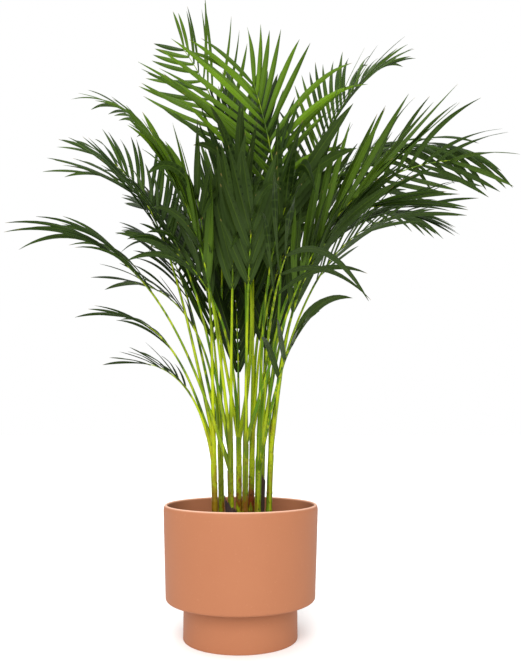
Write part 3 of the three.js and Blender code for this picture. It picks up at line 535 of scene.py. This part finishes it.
def leaflet(piece, frond, index, line, pair, side):
    """A folded blade: six columns of points, three on its upper face and three on its under face."""
    u = (pair + 0.5) / frond["pairs"]
    share = frond["bare"] + (1 - frond["bare"]) * u * BLADE["end"]
    point, along, across, up = place_on(frond, line, share)
    roll = math.radians(frond["roll"] * min(1, u + 0.5))
    row_across = across * math.cos(roll) + up * math.sin(roll)
    row_up = up * math.cos(roll) - across * math.sin(roll)
    jitter = [scatter(index, pair, side, key) for key in range(1, 10)]
    fold = math.radians(frond["fold"] * (1 - BLADE["fold"] * u ** 2) + UNEVEN["fold"] * jitter[0])
    stand = math.radians(frond["rise"] * (1 - BLADE["rise"] * u) + UNEVEN["rise"] * jitter[1])
    length = frond["leaf"] * length_share(frond, u) * (1 + UNEVEN["length"] * jitter[2])
    weep = frond["weep"] * (1 + UNEVEN["weep"] * jitter[3])
    weep += frond["curl"] * max(0, jitter[4] - CURLED) / (1 - CURLED)
    outset = (along * math.cos(fold) + row_across * side * math.cos(stand) * math.sin(fold)
              + row_up * math.sin(stand) * math.sin(fold))
    w = (np.arange(LEAFLET_STEPS) + 0.5) / LEAFLET_STEPS
    sway = LEAFLET["sway"] * jitter[7]
    ways = unit(outset + along * ((LEAFLET["gather"] + sway) * w)[:, None]
                - UP * (weep * w ** LEAFLET["fall"])[:, None])
    spine = point + np.concatenate([np.zeros((1, 3)), np.cumsum(ways * length / LEAFLET_STEPS, axis=0)])
    w = np.linspace(0, 1, LEAFLET_STEPS + 1)
    ahead = unit(np.concatenate([ways[:1], ways[:-1] + ways[1:], ways[-1:]]))
    breadth = unit(along - (ahead @ along)[:, None] * ahead)
    face = np.cross(breadth, ahead) * side
    twist = math.radians(LEAFLET["twist"] * jitter[5]) * w ** 1.5
    wide = breadth * np.cos(twist)[:, None] + face * np.sin(twist)[:, None]
    high = face * np.cos(twist)[:, None] - breadth * np.sin(twist)[:, None]
    half = np.maximum(half_width(frond, length, w), LEAFLET["least_half"])
    droop = half * (LEAFLET["keel"] - LEAFLET["flattening"] * w)
    thick = LEAFLET["thickness"] * (1 - LEAFLET["thinning"] * w)
    columns = [(-1, 0), (0, 0), (1, 0), (1, 1), (0, 1), (-1, 1)]
    rings = np.stack([spine + wide * (half * a)[:, None]
                      - high * (droop * abs(a) + thick * under)[:, None] for a, under in columns], axis=1)
    # chance carries the frond's tone, which holds painted light and shade, plus a random spread.
    chance = np.clip(frond["tone"] + LEAFLET["tone_spread"] * jitter[6], 0, 1)
    marks = np.array([[(0.5 + 0.5 * a, s, chance, under) for a, under in columns] for s in w])
    piece.rows(rings, marks, slot=0, creases=range(6))


def rachis(piece, frond, index, line):
    first = math.ceil(frond["bare"] * CURVE_STEPS + 1e-6)
    shares = [frond["bare"]] + [k / CURVE_STEPS for k in range(first, CURVE_STEPS + 1)]
    places = [place_on(frond, line, s) for s in shares]
    centres, along, across, up = (np.array(v) for v in zip(*places))
    shares = np.array(shares)
    size = 1 - RACHIS["taper"] * (shares - frond["bare"]) / (1 - frond["bare"])
    marks = np.array([(0.5, s, 0.5 + 0.4 * scatter(index, 31), 0.0) for s in shares])
    tube(piece, centres, across, up, RACHIS["side"] * size, marks, 8, slot=1)


def cane_tone(number):
    """How yellow a cane is, from 0 to 1."""
    return 0.5 + 0.4 * scatter(number, 7)


def cane(piece, number):
    """A stem of clasping leaf bases, with a raised scar at each joint."""
    x, y, top, brown = CANES[number]
    crown = max(frond["start"] for frond in FRONDS if frond["cane"] == number) + CROWN["over"]
    height = np.linspace(SOIL_TOP - CANE["depth"], crown, 96)
    climb = np.clip((height - SOIL_TOP) / (top - SOIL_TOP), 0, 1)
    centres = np.stack([x * (1 + CANE["flare"] * climb), y * (1 + CANE["flare"] * climb), height], axis=1)
    radii = mix(CANE["foot_radius"], CANE["top_radius"], climb)
    joint = ((height - SOIL_TOP) / JOINTS["spacing"] + 0.5 * scatter(number, 3)) % 1
    scar = JOINTS["scar"] * np.exp(-((joint - 0.5) / JOINTS["scar_width"]) ** 2)
    radii = radii + scar - JOINTS["waist"] * joint
    ending = np.clip((height - crown + CROWN["taper"]) / CROWN["taper"], 0, 1)
    radii *= 1 - CROWN["narrowed"] * ending ** 1.4
    marks = np.array([(0.5, c, cane_tone(number), brown) for c in climb])
    ones = np.ones((len(height), 1))
    tube(piece, centres, ones * (0, 1, 0), ones * (-1, 0, 0), radii, marks, 20)


def petiole(piece, frond, index, line):
    """The bare stalk of a frond, with the leaf base that clasps the cane under it."""
    x, y, top, brown = CANES[frond["cane"]]
    clasp = SLEEVE["length"] + SLEEVE["uneven"] * scatter(index, 41)
    below = np.linspace(-clasp, SLEEVE["top"], 12)
    height = frond["start"] + below
    climb = (height - SOIL_TOP) / (top - SOIL_TOP)
    outward = unit(np.array([math.cos(math.radians(frond["heading"])),
                             math.sin(math.radians(frond["heading"])), 0.0]))
    axis = np.stack([x * (1 + CANE["flare"] * climb), y * (1 + CANE["flare"] * climb), height], axis=1)
    lead = 1 + below / clasp
    sleeve = axis + outward * (SLEEVE["offset"] * lead ** 2 * (1 - SLEEVE["tuck"] * lead ** 3))[:, None]
    stem_radius = mix(CANE["foot_radius"], CANE["top_radius"], climb)
    sleeve_radius = stem_radius - SLEEVE["inset"] + SLEEVE["widening"] * lead
    last = int(frond["bare"] * CURVE_STEPS)
    shares = np.array([k / CURVE_STEPS for k in range(0, last + 1)] + [frond["bare"]])
    if shares[-1] - shares[-2] < 1e-6:
        shares = shares[:-1]
    centres = np.array([place_on(frond, line, s)[0] for s in shares])
    part = shares / frond["bare"]
    swelling = (sleeve_radius[-1] - PETIOLE["foot_radius"]) * np.exp(-part / PETIOLE["swelling"])
    radii = mix(PETIOLE["foot_radius"], PETIOLE["collar_radius"], part) + swelling
    centres = np.concatenate([sleeve, centres])
    radii = np.concatenate([sleeve_radius, radii])
    ahead = unit(np.gradient(centres, axis=0))
    across = np.cross(UP, outward) * np.ones((len(centres), 1))
    up = unit(np.cross(ahead, across))
    part = np.concatenate([lead - 1, part])
    tones = mix(cane_tone(frond["cane"]), 0.5 + 0.5 * scatter(index, 53), np.clip(1 + part, 0, 1))
    marks = np.array([(0.5, max(s, 0), tint, brown) for s, tint in zip(part, tones)])
    tube(piece, centres, across, up, radii, marks, 12, flat=PETIOLE["groove"])


lines = [frond_line(frond) for frond in FRONDS]
for number in range(len(CANES)):
    stalks = Piece()
    cane(stalks, number)
    for index, frond in enumerate(FRONDS):
        if frond["cane"] == number:
            petiole(stalks, frond, index, lines[index])
    node = f"cane_{number + 1}"
    stalks.make(f"stalks_{number + 1}", [STALK], [node])
for index, frond in enumerate(FRONDS):
    blade = Piece()
    rachis(blade, frond, index, lines[index])
    for pair in range(frond["pairs"]):
        for side in (1, -1):
            leaflet(blade, frond, index, lines[index], pair, side)
    blade.make("leaf_" + frond["name"], [LEAF, STALK], ["frond_" + frond["name"]])

# ---------------------------------------------------------------- floor, light, camera


def floor():
    mesh = bpy.data.meshes.new("floor")
    size = 40.0
    corners = [(-size, -size, 0), (size, -size, 0), (size, size, 0), (-size, size, 0)]
    mesh.from_pydata(corners, [], [(0, 1, 2, 3)])
    n = Nodes("pale_floor")
    n.set(Base_Color=tone(255, 255, 255), Roughness=1.0, Specular_IOR_Level=0.0)
    mesh.materials.append(n.material)
    obj = bpy.data.objects.new("floor", mesh)
    bpy.context.scene.collection.objects.link(obj)


def sun(name, direction, strength, spread):
    """A far soft light: the way it shines, and its apparent size in degrees."""
    light = bpy.data.lights.new(name, "SUN")
    light.energy = strength
    light.angle = math.radians(spread)
    lamp = bpy.data.objects.new(name, light)
    lamp.rotation_euler = Vector(direction).to_track_quat("-Z", "Y").to_euler()
    bpy.context.scene.collection.objects.link(lamp)


KEY_LIGHT = dict(direction=(0.06, 0.95, -0.6), strength=3.0, spread=40)
TOP_LIGHT = dict(direction=(0.1, -0.2, -1.0), strength=1.3, spread=70)
AMBIENT_LIGHT = 0.64

floor()
sun("key", **KEY_LIGHT)
sun("top", **TOP_LIGHT)

# The surroundings light the plant less than they show behind it, where they are plain white.
world = bpy.data.worlds.new("studio")
world.use_nodes = True
sky = world.node_tree
seen = sky.nodes.new("ShaderNodeLightPath").outputs["Is Camera Ray"]
strength = sky.nodes.new("ShaderNodeMapRange")
strength.inputs["To Min"].default_value = AMBIENT_LIGHT
strength.inputs["To Max"].default_value = 1.0
sky.links.new(seen, strength.inputs["Value"])
sky.links.new(strength.outputs[0], sky.nodes["Background"].inputs["Strength"])
sky.nodes["Background"].inputs["Color"].default_value = (1, 1, 1, 1)
bpy.context.scene.world = world
bpy.context.scene.view_settings.view_transform = "Standard"

FOCAL_PIXELS = 681.4
IMAGE_HEIGHT = 668
EYE = (0.0357, -1.276, 0.365)
PITCH = 0.14
camera = bpy.data.cameras.new("camera")
camera.sensor_width = 36
camera.lens = camera.sensor_width * FOCAL_PIXELS / IMAGE_HEIGHT
eye = bpy.data.objects.new("camera", camera)
eye.location = EYE
eye.rotation_euler = (math.pi / 2 + PITCH, 0, 0)
bpy.context.scene.collection.objects.link(eye)
bpy.context.scene.camera = eye
